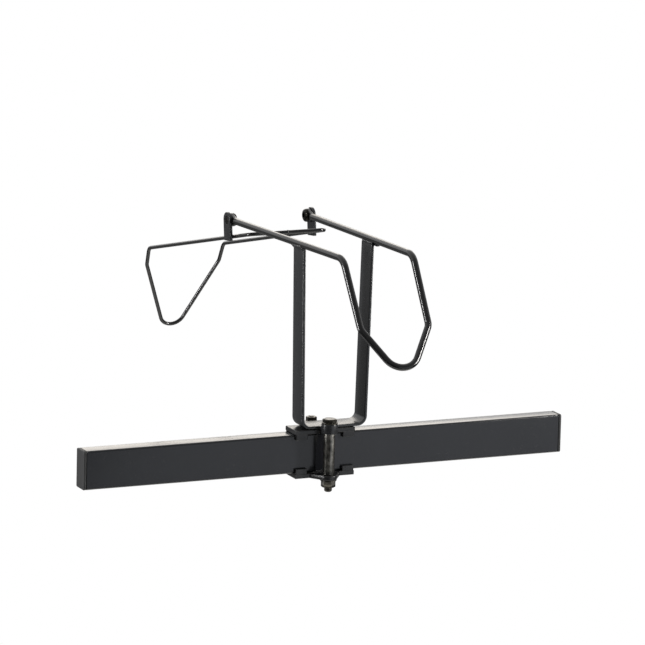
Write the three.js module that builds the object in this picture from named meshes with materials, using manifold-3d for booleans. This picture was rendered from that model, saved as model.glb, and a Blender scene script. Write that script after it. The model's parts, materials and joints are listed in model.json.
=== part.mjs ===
// Wheel cradle on a level rail: a bent yoke is clamped on a box-section rail and carries a
// front hoop of round rod, and a rear hoop of thinner rod folds up on two pivot bolts.
// Millimetres, +X along the rail, +Y to the back, +Z up.
// The origin is the middle of the rail's flat back face.
import * as THREE from "three";
import { mergeVertices } from "three/addons/utils/BufferGeometryUtils.js";
import Module from "manifold-3d";

const wasm = await Module();
wasm.setup();

// ---------------------------------------------------------------- driving dimensions

const GAP = 0.3; // left between pieces that touch
const OVERCUT = 1; // how far a cutter runs past the faces that it cuts

const RAIL = { length: 525, height: 40, depth: 20, wall: 2, corner: 2 };
const END_PLUG = { head: 3, tongue: 18, hollow: 2 };
const CLAMP_OFFSET = 6.5; // the yoke's middle stands this far to the right of the rail's middle

const YOKE = {
  width: 25,
  thickness: 3,
  baseBottom: 5.3,
  legAtBase: 34.5,
  splay: 0.0168,
  top: 192.5,
  bendRadius: 8.5,
  edge: 0.6,
};

const CLAMP = { x: -10.1, boltY: 22.7 };
const TONGUE = { tipRadius: 9, rootWidth: 34, rootY: 10.5 };
const JAW = {
  halfLength: 32.6,
  thickness: 4.7,
  lipThickness: 3,
  lipWidth: 13,
  lipReach: 5,
  lipInset: 0.25,
};
const SLEEVE = { radius: 5.85 };
const COLLAR = { radius: 8.5, bottom: 2.7, height: 10.1, webWidth: 13, webOverlap: 4.2 };
const FRONT_BOLT = {
  shank: 4,
  flangeRadius: 8.2,
  flangeHeight: 1.4,
  acrossFlats: 13,
  headHeight: 4.8,
  headChamfer: 1.4,
  topRadius: 5.9,
  tail: 5,
  point: 1,
};
const REAR_BOLT = { shank: 3, acrossFlats: 10, headHeight: 4, nutHeight: 5, tail: 0.6, point: 0.8 };
const FLANGE_NUT = { acrossFlats: 13, height: 8, flangeRadius: 8.5, flangeHeight: 1.6 };

const PIVOT = { y: 162.1, z: 190.4 };
const EYE = {
  radius: 7,
  innerX: 41.5,
  thickness: 4,
  neck: 15,
  shoulder: 11.25,
  waist: THREE.MathUtils.degToRad(115.2),
  overlap: 3,
};
const PIVOT_BOLT = {
  radius: 4,
  headRadius: 7,
  headHeight: 2.8,
  crownRadius: 4.34,
  shoulderRadius: 6.16,
  socketAcrossFlats: 5,
  socketDepth: 1.8,
  point: 0.6,
};

const FRONT_ROD = 3.5;
const FRONT_HOOP = {
  cornerX: 38.1,
  cornerY: -106.4,
  cornerZ: 200.6,
  cornerBend: 18,
  drop: THREE.MathUtils.degToRad(55.5),
  kneeAlong: 76.5,
  kneeX: 37,
  kneeBend: 14,
  taper: THREE.MathUtils.degToRad(31),
  tipBend: 20,
};

const REAR_ROD = 2;
const REAR_HOOP = {
  barX: 43.4,
  crossY: 115,
  crossZ: 183.8,
  crossBend: 8,
  cornerY: 382.3,
  cornerZ: 118.7,
  cornerBend: 10,
  drop: THREE.MathUtils.degToRad(67),
  kneeAlong: 21.7,
  kneeX: 42.1,
  kneeBend: 10,
  taper: THREE.MathUtils.degToRad(22.1),
  tipBend: 14,
};
const STRAP = { innerX: 45.8, thickness: 3, radius: 8.3, foot: 21.4, lean: THREE.MathUtils.degToRad(7) };
const LUG = {
  innerX: 39.5,
  outerX: 43.2,
  front: 17,
  rear: 10,
  bottom: 191.3,
  height: 4,
  slopeLength: 8,
  slopeRise: 2,
};

const ROD_SIDES = 16;
const ROUND_SIDES = 32;
const BEND_STEP = THREE.MathUtils.degToRad(11.25);

// ---------------------------------------------------------------- derived dimensions

// The front hoop's bars rise from the pivots to the front corners.
const frontBarTilt = Math.atan2(FRONT_HOOP.cornerZ - PIVOT.z, PIVOT.y - FRONT_HOOP.cornerY);

const upperJaw = { bottom: GAP, top: GAP + JAW.thickness };
const lowerJaw = { bottom: -RAIL.height - GAP - JAW.thickness, top: -RAIL.height - GAP };

// ---------------------------------------------------------------- finishes

const finish = (color, roughness, metalness) => () =>
  new THREE.MeshStandardMaterial({ color, roughness, metalness });
const powderCoat = finish(0x2b2b2d, 0.48, 0);
const blackZinc = finish(0x3a3a38, 0.4, 0.9);
const blackOxide = finish(0x26241f, 0.42, 0.9);
const polyethylene = finish(0x1f1f20, 0.6, 0);

// ---------------------------------------------------------------- solids, joins and cuts

// A closed mesh as a manifold-3d solid. Vertices that lie together are merged first.
function solid(geometry, mirrored = false) {
  const bare = geometry.index ? geometry.toNonIndexed() : geometry.clone();
  bare.deleteAttribute("normal");
  bare.deleteAttribute("uv");
  if (mirrored) bare.scale(-1, 1, 1);
  const merged = mergeVertices(bare, 1e-4);
  const triVerts = new Uint32Array(merged.index.array);
  if (mirrored) triVerts.reverse();
  return new wasm.Manifold(
    new wasm.Mesh({ numProp: 3, vertProperties: merged.attributes.position.array, triVerts }),
  );
}

// A manifold-3d solid as a three.js geometry with flat shading.
function geometryOf(made) {
  const { vertProperties, triVerts } = made.getMesh();
  const indexed = new THREE.BufferGeometry();
  indexed.setAttribute("position", new THREE.BufferAttribute(vertProperties, 3));
  indexed.setIndex(new THREE.BufferAttribute(triVerts, 1));
  const flat = indexed.toNonIndexed();
  flat.computeVertexNormals();
  return flat;
}

const join = (...solids) => solids.reduce((whole, next) => whole.add(next));
const cut = (body, ...tools) => tools.reduce((rest, tool) => rest.subtract(tool), body);

// The same solid on both sides of the plane x = 0, joined along it.
const bothSides = (geometry) => join(solid(geometry), solid(geometry, true));

function block(x, y, z, sizeX, sizeY, sizeZ) {
  return new THREE.BoxGeometry(sizeX, sizeY, sizeZ).translate(x, y, z);
}

// A round or hexagonal bar along Z from z0 to z1.
function bar(radius, z0, z1, x = 0, y = 0, sides = ROUND_SIDES) {
  return new THREE.CylinderGeometry(radius, radius, z1 - z0, sides)
    .rotateX(Math.PI / 2)
    .translate(x, y, (z0 + z1) / 2);
}

const hexagon = (acrossFlats, z0, z1) => bar(acrossFlats / Math.sqrt(3), z0, z1, 0, 0, 6);

// A turned piece round Z, from [radius, z] points that start and end on the axis.
function turned(points, sides = ROUND_SIDES) {
  const profile = points.map(([radius, z]) => new THREE.Vector2(radius, z));
  return new THREE.LatheGeometry(profile, sides).rotateX(Math.PI / 2);
}

// A flat plate in the XY plane from an outline, from z0 to z1.
function plate(outline, z0, z1, curveSegments = 12) {
  return new THREE.ExtrudeGeometry(outline, { depth: z1 - z0, bevelEnabled: false, curveSegments })
    .translate(0, 0, z0);
}

// A flat plate in the YZ plane from a (y, z) outline, from x0 to x1.
function sidePlate(outline, x0, x1, curveSegments = 12) {
  return new THREE.ExtrudeGeometry(outline, { depth: x1 - x0, bevelEnabled: false, curveSegments })
    .rotateX(Math.PI / 2)
    .rotateZ(Math.PI / 2)
    .translate(x0, 0, 0);
}

function roundedRectangle(width, height, radius) {
  const [w, h] = [width / 2, height / 2];
  const shape = new THREE.Shape();
  shape.moveTo(w, radius - h);
  shape.lineTo(w, h - radius);
  shape.absarc(w - radius, h - radius, radius, 0, Math.PI / 2);
  shape.lineTo(radius - w, h);
  shape.absarc(radius - w, h - radius, radius, Math.PI / 2, Math.PI);
  shape.lineTo(-w, radius - h);
  shape.absarc(radius - w, radius - h, radius, Math.PI, 1.5 * Math.PI);
  shape.lineTo(w - radius, -h);
  shape.absarc(w - radius, radius - h, radius, 1.5 * Math.PI, 2 * Math.PI);
  return shape;
}

function circle(radius) {
  return new THREE.Shape().absarc(0, 0, radius, 0, 2 * Math.PI);
}

// ---------------------------------------------------------------- bent bar

// The centre line of a bent bar: straight runs between corners, each corner an arc.
// Its stations lie only where the bar starts, ends or bends.
class BentLine extends THREE.Curve {
  constructor(corners) {
    super();
    this.stations = [];
    corners.forEach(({ at, bend }, i) => {
      const before = corners[i - 1];
      const after = corners[i + 1];
      const arriving = before && at.clone().sub(before.at).normalize();
      const leaving = after && after.at.clone().sub(at).normalize();
      if (bend) this.addBend(at, bend, arriving, leaving);
      else this.stations.push({ point: at.clone(), tangent: leaving || arriving });
    });
  }

  addBend(at, radius, arriving, leaving) {
    const turn = arriving.angleTo(leaving);
    const axis = new THREE.Vector3().crossVectors(arriving, leaving).normalize();
    const start = at.clone().addScaledVector(arriving, -radius * Math.tan(turn / 2));
    const inward = new THREE.Vector3().crossVectors(axis, arriving);
    const centre = start.clone().addScaledVector(inward, radius);
    const steps = Math.max(2, Math.ceil(turn / BEND_STEP));
    for (let i = 0; i <= steps; i++) {
      const angle = (turn * i) / steps;
      const spoke = inward.clone().multiplyScalar(-radius).applyAxisAngle(axis, angle);
      this.stations.push({
        point: centre.clone().add(spoke),
        tangent: arriving.clone().applyAxisAngle(axis, angle),
      });
    }
  }

  get steps() {
    return this.stations.length - 1;
  }

  getPoint(t, target = new THREE.Vector3()) {
    return target.copy(this.stations[Math.round(t * this.steps)].point);
  }

  getPointAt(u, target) {
    return this.getPoint(u, target);
  }

  getTangentAt(u, target = new THREE.Vector3()) {
    return target.copy(this.stations[Math.round(u * this.steps)].tangent);
  }
}

const corner = (x, y, z, bend = 0) => ({ at: new THREE.Vector3(x, y, z), bend });

// A bar of the given section along a bent line.
function bentBar(section, corners, curveSegments = ROD_SIDES / 2) {
  const extrudePath = new BentLine(corners);
  return new THREE.ExtrudeGeometry(section, { steps: extrudePath.steps, extrudePath, curveSegments });
}

// A round rod's section: a full circle in two arcs.
function rodSection(radius) {
  const section = new THREE.Shape();
  section.absarc(0, 0, radius, 0, Math.PI);
  section.absarc(0, 0, radius, Math.PI, 2 * Math.PI);
  return section;
}

// ---------------------------------------------------------------- rail

function railGeometry() {
  const { length, height, depth, wall, corner: edge } = RAIL;
  const outline = roundedRectangle(depth, height, edge);
  outline.holes.push(roundedRectangle(depth - 2 * wall, height - 2 * wall, edge / 2));
  return sidePlate(outline, -length / 2, length / 2, 4).translate(0, -depth / 2, 0);
}

// A moulded plug: a flat head over the tube's end and a hollow tongue inside it.
function endPlugGeometry() {
  const { length, height, depth, wall, corner: edge } = RAIL;
  const { head, tongue, hollow } = END_PLUG;
  const end = length / 2;
  const [innerDepth, innerHeight] = [depth - 2 * (wall + GAP), height - 2 * (wall + GAP)];
  const cap = sidePlate(roundedRectangle(depth, height, edge), end + GAP, end + GAP + head, 4);
  const body = block(end - tongue / 2 + head, 0, 0, tongue, innerDepth, innerHeight);
  const [roomDepth, roomHeight] = [innerDepth - 2 * hollow, innerHeight - 2 * hollow];
  const room = block(end - tongue / 2 - hollow, 0, 0, tongue, roomDepth, roomHeight);
  return geometryOf(cut(join(solid(cap), solid(body)), solid(room))).translate(0, -depth / 2, 0);
}

// ---------------------------------------------------------------- clamp

// A tapered tongue from the plate's middle out to a round tip about a bolt.
function tongue(side, z0, z1) {
  const { tipRadius, rootWidth, rootY } = TONGUE;
  const outline = new THREE.Shape();
  outline.moveTo(-rootWidth / 2, rootY);
  outline.lineTo(rootWidth / 2, rootY);
  outline.absarc(0, CLAMP.boltY, tipRadius, 0, Math.PI);
  const geometry = plate(outline, z0, z1);
  if (side < 0) geometry.rotateZ(Math.PI);
  return solid(geometry.translate(CLAMP.x, 0, 0));
}

const boltHole = (side, shank, jaw) =>
  solid(bar(shank + GAP, jaw.bottom - OVERCUT, jaw.top + OVERCUT, CLAMP.x, side * CLAMP.boltY));

// The four lips of a jaw, which grip the rail's front and back faces.
function jawLips(z0, z1) {
  const { halfLength, lipThickness, lipWidth, lipInset } = JAW;
  const y = RAIL.depth / 2 + GAP + lipThickness / 2;
  const x = halfLength - lipInset - lipWidth / 2;
  const spots = [-1, 1].flatMap((sx) => [-1, 1].map((sy) => [CLAMP.x + sx * x, sy * y]));
  return spots.map(([px, py]) => solid(block(px, py, (z0 + z1) / 2, lipWidth, lipThickness, z1 - z0)));
}

// A jaw's flat slab, a little deeper than the rail and both lips.
function jawSlab(z0, z1) {
  const depth = RAIL.depth + 2 * (GAP + JAW.lipThickness + JAW.lipInset);
  return solid(block(CLAMP.x, 0, (z0 + z1) / 2, 2 * JAW.halfLength, depth, z1 - z0));
}

function upperJawGeometry() {
  const { bottom, top } = upperJaw;
  const lips = jawLips(-JAW.lipReach, (bottom + top) / 2);
  const whole = join(jawSlab(bottom, top), tongue(1, bottom, top), ...lips);
  return geometryOf(cut(whole, boltHole(1, REAR_BOLT.shank, upperJaw)));
}

function lowerJawGeometry() {
  const { bottom, top } = lowerJaw;
  const lips = jawLips((bottom + top) / 2, top + GAP + JAW.lipReach);
  const whole = join(jawSlab(bottom, top), tongue(-1, bottom, top), tongue(1, bottom, top), ...lips);
  const holes = [boltHole(-1, FRONT_BOLT.shank, lowerJaw), boltHole(1, REAR_BOLT.shank, lowerJaw)];
  return geometryOf(cut(whole, ...holes));
}

// A round tube about a bolt, standing on the lower jaw.
function sleeveGeometry(shank, top) {
  const outline = circle(SLEEVE.radius);
  outline.holes.push(circle(shank + GAP));
  return plate(outline, lowerJaw.top + GAP, top);
}

// ---------------------------------------------------------------- clamp fasteners

function collarGeometry() {
  const outline = circle(COLLAR.radius);
  outline.holes.push(circle(FRONT_BOLT.shank + GAP));
  return plate(outline, COLLAR.bottom, COLLAR.bottom + COLLAR.height);
}

// A flanged bolt: its hexagon's top corners are chamfered by a cone.
function frontBoltGeometry() {
  const { shank, flangeRadius, flangeHeight, acrossFlats, headHeight, tail, point } = FRONT_BOLT;
  const seat = COLLAR.bottom + COLLAR.height + GAP;
  const end = lowerJaw.bottom - FLANGE_NUT.height - tail;
  const body = turned([
    [0, end],
    [shank - point, end],
    [shank, end + point],
    [shank, seat],
    [flangeRadius, seat],
    [flangeRadius, seat + flangeHeight / 2],
    [acrossFlats / 2, seat + flangeHeight],
    [0, seat + flangeHeight],
  ]);
  const cone = turned([
    [0, seat],
    [acrossFlats, seat],
    [acrossFlats / 2 + 2, seat + headHeight - FRONT_BOLT.headChamfer],
    [FRONT_BOLT.topRadius, seat + headHeight],
    [0, seat + headHeight],
  ]);
  const hex = solid(hexagon(acrossFlats, seat + flangeHeight / 2, seat + headHeight));
  return geometryOf(join(solid(body), hex.intersect(solid(cone))));
}

function flangeNutGeometry() {
  const { acrossFlats, height, flangeRadius, flangeHeight } = FLANGE_NUT;
  const top = lowerJaw.bottom - GAP;
  const flange = turned([
    [0, top - flangeHeight],
    [acrossFlats / 2, top - flangeHeight],
    [flangeRadius, top - flangeHeight / 2],
    [flangeRadius, top],
    [0, top],
  ]);
  const hex = hexagon(acrossFlats, top - height, top - flangeHeight / 2);
  const hole = bar(FRONT_BOLT.shank + GAP, top - height - OVERCUT, top + OVERCUT);
  return geometryOf(cut(join(solid(flange), solid(hex)), solid(hole)));
}

function rearBoltGeometry() {
  const { shank, acrossFlats, headHeight, nutHeight, tail, point } = REAR_BOLT;
  const seat = lowerJaw.bottom - GAP;
  const end = upperJaw.top + GAP + nutHeight + tail;
  const body = turned([
    [0, seat - headHeight / 2],
    [shank, seat - headHeight / 2],
    [shank, end - point],
    [shank - point, end],
    [0, end],
  ]);
  return geometryOf(join(solid(body), solid(hexagon(acrossFlats, seat - headHeight, seat))));
}

function rearNutGeometry() {
  const bottom = upperJaw.top + GAP;
  const top = bottom + REAR_BOLT.nutHeight;
  const hex = hexagon(REAR_BOLT.acrossFlats, bottom, top);
  const hole = bar(REAR_BOLT.shank + GAP, bottom - OVERCUT, top + OVERCUT);
  return geometryOf(cut(solid(hex), solid(hole)));
}

// ---------------------------------------------------------------- yoke

// A strip bent to a U, its leg tops cut to the slope of the front hoop's bars, with a web out
// to the collar.
function yokeGeometry() {
  const { width, thickness, baseBottom, legAtBase, splay, top, bendRadius, edge } = YOKE;
  const base = baseBottom + thickness / 2;
  const overrun = 10;
  const legX = (z) => legAtBase + splay * z;
  const section = roundedRectangle(width, thickness, edge);
  const strip = bentBar(
    section,
    [
      corner(-legX(top + overrun), 0, top + overrun),
      corner(-legX(base), 0, base, bendRadius),
      corner(legX(base), 0, base, bendRadius),
      corner(legX(top + overrun), 0, top + overrun),
    ],
    3,
  );
  const above = block(0, 0, overrun, 4 * legAtBase, 2 * width, 2 * overrun)
    .rotateX(-frontBarTilt)
    .translate(0, 0, top);
  const web = block(CLAMP.x, -width / 2, base, COLLAR.webWidth, 2 * COLLAR.webOverlap, thickness);
  const [seatBottom, seatTop] = [baseBottom - OVERCUT, baseBottom + thickness + OVERCUT];
  const seat = bar(COLLAR.radius + GAP, seatBottom, seatTop, CLAMP.x, -CLAMP.boltY);
  return geometryOf(cut(join(solid(strip), solid(web)), solid(above), solid(seat)));
}

// ---------------------------------------------------------------- hoops

// From a corner, the points of one side of a sloping V-shaped end: the knee, then the tip.
function hoopEnd(hoop, side) {
  const { cornerY, cornerZ, drop, kneeAlong, kneeX, kneeBend, taper, tipBend } = hoop;
  const at = (along) => [cornerY + side * along * Math.cos(drop), cornerZ - along * Math.sin(drop)];
  const apexAlong = kneeAlong + kneeX / Math.tan(taper);
  return {
    knee: corner(kneeX, ...at(kneeAlong), kneeBend),
    apex: new THREE.Vector3(0, ...at(apexAlong)),
    tipBend,
  };
}

// One half of a rod hoop, from the given start to the middle of its rounded tip.
function halfHoop(radius, start, end) {
  const { knee, apex, tipBend } = end;
  const inward = apex.clone().sub(knee.at).normalize();
  const across = new THREE.Vector3(-1, 0, 0);
  const turn = inward.angleTo(across);
  const sharp = Math.tan(turn / 2) * tipBend;
  const reach = tipBend / Math.sin(Math.PI / 2 - turn) - tipBend;
  const middle = apex.clone().addScaledVector(apex.clone().sub(knee.at).setX(0).normalize(), -reach);
  const bendCorner = middle.clone().setX(sharp);
  return bentBar(rodSection(radius), [
    ...start,
    knee,
    { at: bendCorner, bend: tipBend },
    { at: middle, bend: 0 },
  ]);
}

// The flattened rear end of the front hoop: a paddle with a round eye.
function eyePaddle() {
  const { radius, innerX, thickness, neck, shoulder, waist } = EYE;
  const outline = new THREE.Shape();
  outline.moveTo(-neck, -FRONT_ROD);
  outline.lineTo(-shoulder, -FRONT_ROD);
  outline.absarc(0, 0, radius, 2 * Math.PI - waist, waist);
  outline.lineTo(-shoulder, FRONT_ROD);
  outline.lineTo(-neck, FRONT_ROD);
  return sidePlate(outline, innerX, innerX + thickness)
    .rotateX(-frontBarTilt)
    .translate(0, PIVOT.y, PIVOT.z);
}

// A bar along X between x0 and x1, about the pivots' axis.
function pivotBar(radius, x0, x1) {
  return bar(radius, x0, x1).rotateY(Math.PI / 2).translate(0, PIVOT.y, PIVOT.z);
}

// One half of the front hoop's rod, from inside its eye's neck to the middle of its tip.
function frontHoopRod(radius) {
  const { cornerX, cornerY, cornerZ, cornerBend } = FRONT_HOOP;
  const { innerX, thickness, neck, overlap } = EYE;
  const eye = new THREE.Vector3(innerX + thickness / 2, PIVOT.y, PIVOT.z);
  const bend = new THREE.Vector3(cornerX, cornerY, cornerZ);
  const start = eye.clone().lerp(bend, (neck - overlap) / eye.distanceTo(bend));
  const end = hoopEnd(FRONT_HOOP, -1);
  return halfHoop(radius, [{ at: start, bend: 0 }, { at: bend, bend: cornerBend }], end);
}

function frontHoopGeometry() {
  const half = frontHoopRod(FRONT_ROD);
  const paddle = eyePaddle();
  const { innerX, thickness } = EYE;
  const bore = pivotBar(PIVOT_BOLT.radius + GAP, innerX - OVERCUT, innerX + thickness + OVERCUT);
  return geometryOf(cut(join(bothSides(half), bothSides(paddle)), solid(bore), solid(bore, true)));
}

function rearHoopGeometry() {
  const { barX, crossY, crossZ, crossBend, cornerY, cornerZ, cornerBend } = REAR_HOOP;
  const start = [
    corner(0, crossY, crossZ),
    corner(barX, crossY, crossZ, crossBend),
    corner(barX, cornerY, cornerZ, cornerBend),
  ];
  return geometryOf(bothSides(halfHoop(REAR_ROD, start, hoopEnd(REAR_HOOP, 1))));
}

// ---------------------------------------------------------------- lugs, straps and pivot bolts

// A small plate under the front hoop's bar, against the outer face of a yoke leg's top.
function lugGeometry() {
  const { innerX, outerX, front, rear, bottom, height, slopeLength, slopeRise } = LUG;
  const top = bottom + height;
  const outline = new THREE.Shape();
  outline.moveTo(-front, top);
  outline.lineTo(-front, bottom);
  outline.lineTo(rear - slopeLength, bottom);
  outline.lineTo(rear, bottom + slopeRise);
  outline.lineTo(rear, top);
  const clear = frontHoopRod(FRONT_ROD + GAP);
  return geometryOf(cut(solid(sidePlate(outline, innerX, outerX)), solid(clear)));
}

// An upright strap: a round head about the pivot and a square foot beside the rear hoop's bar.
function strapGeometry() {
  const { innerX, thickness, radius, foot, lean } = STRAP;
  const outline = new THREE.Shape();
  outline.moveTo(-radius, -foot);
  outline.lineTo(radius, -foot);
  outline.absarc(0, 0, radius, 0, Math.PI);
  outline.holes.push(circle(PIVOT_BOLT.radius + GAP));
  return sidePlate(outline, innerX, innerX + thickness, 16)
    .rotateX(-lean)
    .translate(0, PIVOT.y, PIVOT.z);
}

// A low round head with a hexagon socket on the inner side, and a shank through eye and strap.
function pivotBoltGeometry() {
  const { radius, headRadius, crownRadius, shoulderRadius, headHeight, point } = PIVOT_BOLT;
  const { socketAcrossFlats, socketDepth } = PIVOT_BOLT;
  const seat = EYE.innerX - GAP;
  const crown = seat - headHeight;
  const end = STRAP.innerX + STRAP.thickness;
  const body = turned([
    [0, crown],
    [crownRadius, crown],
    [shoulderRadius, crown + headHeight / 3],
    [headRadius, crown + (2 * headHeight) / 3],
    [headRadius, seat],
    [radius, seat],
    [radius, end - point],
    [radius - point, end],
    [0, end],
  ]);
  const socket = hexagon(socketAcrossFlats, crown - OVERCUT, crown + socketDepth);
  return geometryOf(cut(solid(body), solid(socket)))
    .rotateY(Math.PI / 2)
    .translate(0, PIVOT.y, PIVOT.z);
}

// ---------------------------------------------------------------- assembly

function mesh(name, geometry, material = powderCoat) {
  const made = new THREE.Mesh(geometry, material());
  made.name = name;
  return made;
}

// A piece on the right and its mirror image on the left.
function pair(name, geometry, material) {
  const mirrored = geometryOf(solid(geometry, true));
  return [mesh(`${name}_right`, geometry, material), mesh(`${name}_left`, mirrored, material)];
}

function atBolt(side, ...meshes) {
  const group = new THREE.Group();
  group.position.set(CLAMP.x, side * CLAMP.boltY, 0);
  group.add(...meshes);
  return group;
}

const rail = new THREE.Group();
rail.add(mesh("rail", railGeometry()), ...pair("rail_end_plug", endPlugGeometry(), polyethylene));

// The clamp, yoke and hoops share a frame at the middle of the rail's top face, under the yoke.
const cradle = new THREE.Group();
cradle.position.set(CLAMP_OFFSET, -RAIL.depth / 2, RAIL.height / 2);
cradle.add(
  mesh("upper_clamp_plate", upperJawGeometry()),
  mesh("lower_clamp_plate", lowerJawGeometry()),
  mesh("yoke", yokeGeometry()),
  mesh("front_hoop", frontHoopGeometry()),
  ...pair("lug", lugGeometry()),
  atBolt(
    -1,
    mesh("spacer_sleeve_front", sleeveGeometry(FRONT_BOLT.shank, COLLAR.bottom - GAP), blackZinc),
    mesh("clamp_collar_front", collarGeometry()),
    mesh("clamp_bolt_front", frontBoltGeometry(), blackOxide),
    mesh("clamp_nut_front", flangeNutGeometry(), blackOxide),
  ),
  atBolt(
    1,
    mesh("spacer_sleeve_rear", sleeveGeometry(REAR_BOLT.shank, upperJaw.bottom - GAP), blackZinc),
    mesh("clamp_bolt_rear", rearBoltGeometry(), blackOxide),
    mesh("clamp_nut_rear", rearNutGeometry(), blackOxide),
  ),
);

const foldingHoop = new THREE.Group();
foldingHoop.add(
  mesh("rear_hoop", rearHoopGeometry()),
  ...pair("strap", strapGeometry()),
  ...pair("pivot_bolt", pivotBoltGeometry(), blackOxide),
);
cradle.add(foldingHoop);

const rack = new THREE.Group();
rack.add(rail, cradle);

export default rack;
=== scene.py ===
# %% [markdown]
# # A bicycle wheel cradle on a clamped rail
#
# A wheel is held by its tyre between two bent-rod hoops. A yoke of flat bar carries them, and
# a pair of cast jaws clamps the yoke to a level box-section rail. This notebook builds the
# finished steelwork round a fixed engineering model: the model says where each piece is, and
# Blender gives each piece its rounded edges, its welds, its threads and its paint.

# %% Load the fixed frame
import json
import math

import bmesh
import bpy
from mathutils import Matrix, Vector


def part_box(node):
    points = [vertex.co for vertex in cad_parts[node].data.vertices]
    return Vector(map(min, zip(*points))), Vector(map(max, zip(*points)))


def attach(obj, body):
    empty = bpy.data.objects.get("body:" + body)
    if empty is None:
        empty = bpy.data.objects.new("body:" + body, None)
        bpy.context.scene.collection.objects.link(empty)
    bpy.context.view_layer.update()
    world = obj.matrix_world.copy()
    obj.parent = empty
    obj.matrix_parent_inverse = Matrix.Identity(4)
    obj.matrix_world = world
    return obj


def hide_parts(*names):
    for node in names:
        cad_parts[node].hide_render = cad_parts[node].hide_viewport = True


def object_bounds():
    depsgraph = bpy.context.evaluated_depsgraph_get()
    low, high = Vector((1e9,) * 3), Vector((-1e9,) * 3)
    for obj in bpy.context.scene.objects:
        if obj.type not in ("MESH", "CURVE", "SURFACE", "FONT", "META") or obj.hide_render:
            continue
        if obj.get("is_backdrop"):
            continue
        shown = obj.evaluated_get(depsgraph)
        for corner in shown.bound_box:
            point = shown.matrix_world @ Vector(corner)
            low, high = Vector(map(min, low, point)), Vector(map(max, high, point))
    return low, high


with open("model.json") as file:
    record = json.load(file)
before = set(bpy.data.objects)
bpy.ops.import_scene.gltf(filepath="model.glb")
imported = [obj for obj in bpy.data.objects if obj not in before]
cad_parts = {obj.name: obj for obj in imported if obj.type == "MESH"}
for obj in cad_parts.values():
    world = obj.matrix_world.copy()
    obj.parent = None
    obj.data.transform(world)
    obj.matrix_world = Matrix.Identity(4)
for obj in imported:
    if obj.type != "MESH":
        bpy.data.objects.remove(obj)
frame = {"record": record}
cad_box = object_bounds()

# %% [markdown]
# ## Where everything is measured from
#
# Every drawing needs a datum. Here it is the middle of the rail's top face, under the middle
# of the yoke, because the clamp, the yoke and both hoops are all set out from that spot. The
# datum comes from the boxes of the fixed model, and sizes below are in millimetres.

# %% The datum
MM = 0.001


def node_middle(node):
    """The middle of a node's box in the fixed model."""
    low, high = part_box(node)
    return (low + high) / 2


rail_low, rail_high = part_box("rail")
datum = Vector((node_middle("yoke").x, node_middle("rail").y, rail_high.z))


def place(x, y, z):
    """A point given in millimetres from the datum."""
    return datum + Vector((x, y, z)) * MM


def levels(node):
    """A node's lowest and highest level, in millimetres from the datum."""
    return [(corner.z - datum.z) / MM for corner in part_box(node)]


print("datum, mm:", [round(c / MM, 2) for c in datum])

# %% [markdown]
# ## Colour
#
# Paint makers give colours as sRGB hex codes, but light adds up in linear values, so one
# function turns the one into the other.


# %% Hex colours to linear light
def linear(hex_code):
    """A hex colour such as 2b2b2d as linear red, green, blue and alpha."""
    channels = [int(hex_code[i : i + 2], 16) / 255 for i in (0, 2, 4)]
    return [c / 12.92 if c <= 0.04045 else ((c + 0.055) / 1.055) ** 2.4 for c in channels] + [1.0]


# %% [markdown]
# ## One helper for nodes
#
# Materials and Geometry Nodes are both trees of nodes. One small function adds a node, sets
# its properties, and fills its inputs with either a plain value or a link from another node.


# %% Add a node
def add_node(tree, kind, inputs=None, **settings):
    """Adds one node to a tree. An input's value is a number, a colour or a socket to link."""
    node = tree.nodes.new(kind)
    for name, value in settings.items():
        setattr(node, name, value)
    for key, value in (inputs or {}).items():
        if isinstance(value, bpy.types.NodeSocket):
            tree.links.new(value, node.inputs[key])
        else:
            node.inputs[key].default_value = value
    return node


def per_metre(millimetres):
    """The noise scale whose lumps are about this wide, on coordinates in metres."""
    return 1 / (millimetres * MM)


def new_material(name):
    """An empty node material and its tree."""
    made = bpy.data.materials.new(name)
    made.use_nodes = True
    made.node_tree.nodes.clear()
    return made, made.node_tree


# %% [markdown]
# ## Satin powder coat
#
# The rail, yoke, jaws and hoops are mild steel with a black polyester powder coat. The powder
# is sprayed on dry and melted in an oven, so the film is a plastic, not a metal: it has an
# IOR of about 1.5, a gloss that mirrors what is near it softly, and the faint orange peel
# that molten powder leaves where it flows together. Real orange peel is about 1.5 mm across
# and a few microns deep, and it is drawn coarser or deeper where that lets it show. It is
# nearly flat on the bent rod and deepest on the jaws, whose cast skin shows through the film.
# A slow change of tone stands for film thickness, and sparse pale specks for dust. One
# function makes all four coats, because they differ only in colour, gloss and peel.


# %% Powder coat
FILM = (45, 3.0)  # millimetres across a thicker or thinner part of the film, and its detail
TOUCHED = (18, 5.0)  # the same for parts that handling has made a little duller
PIGMENT = (0.4, 2.0)  # the same for the film's finest grain, drawn coarser so that it shows
PEEL_DETAIL = 2.0
DUST_GAP = 5  # millimetres from one speck of dust to the next
DUST = "6f6d69"
SPECK = {"From Min": 0.05, "From Max": 0.09, "To Min": 0.25, "To Max": 0.0}
NOISE_SPAN = {"From Min": 0.3, "From Max": 0.7}  # nearly all of a noise's values lie in it


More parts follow.
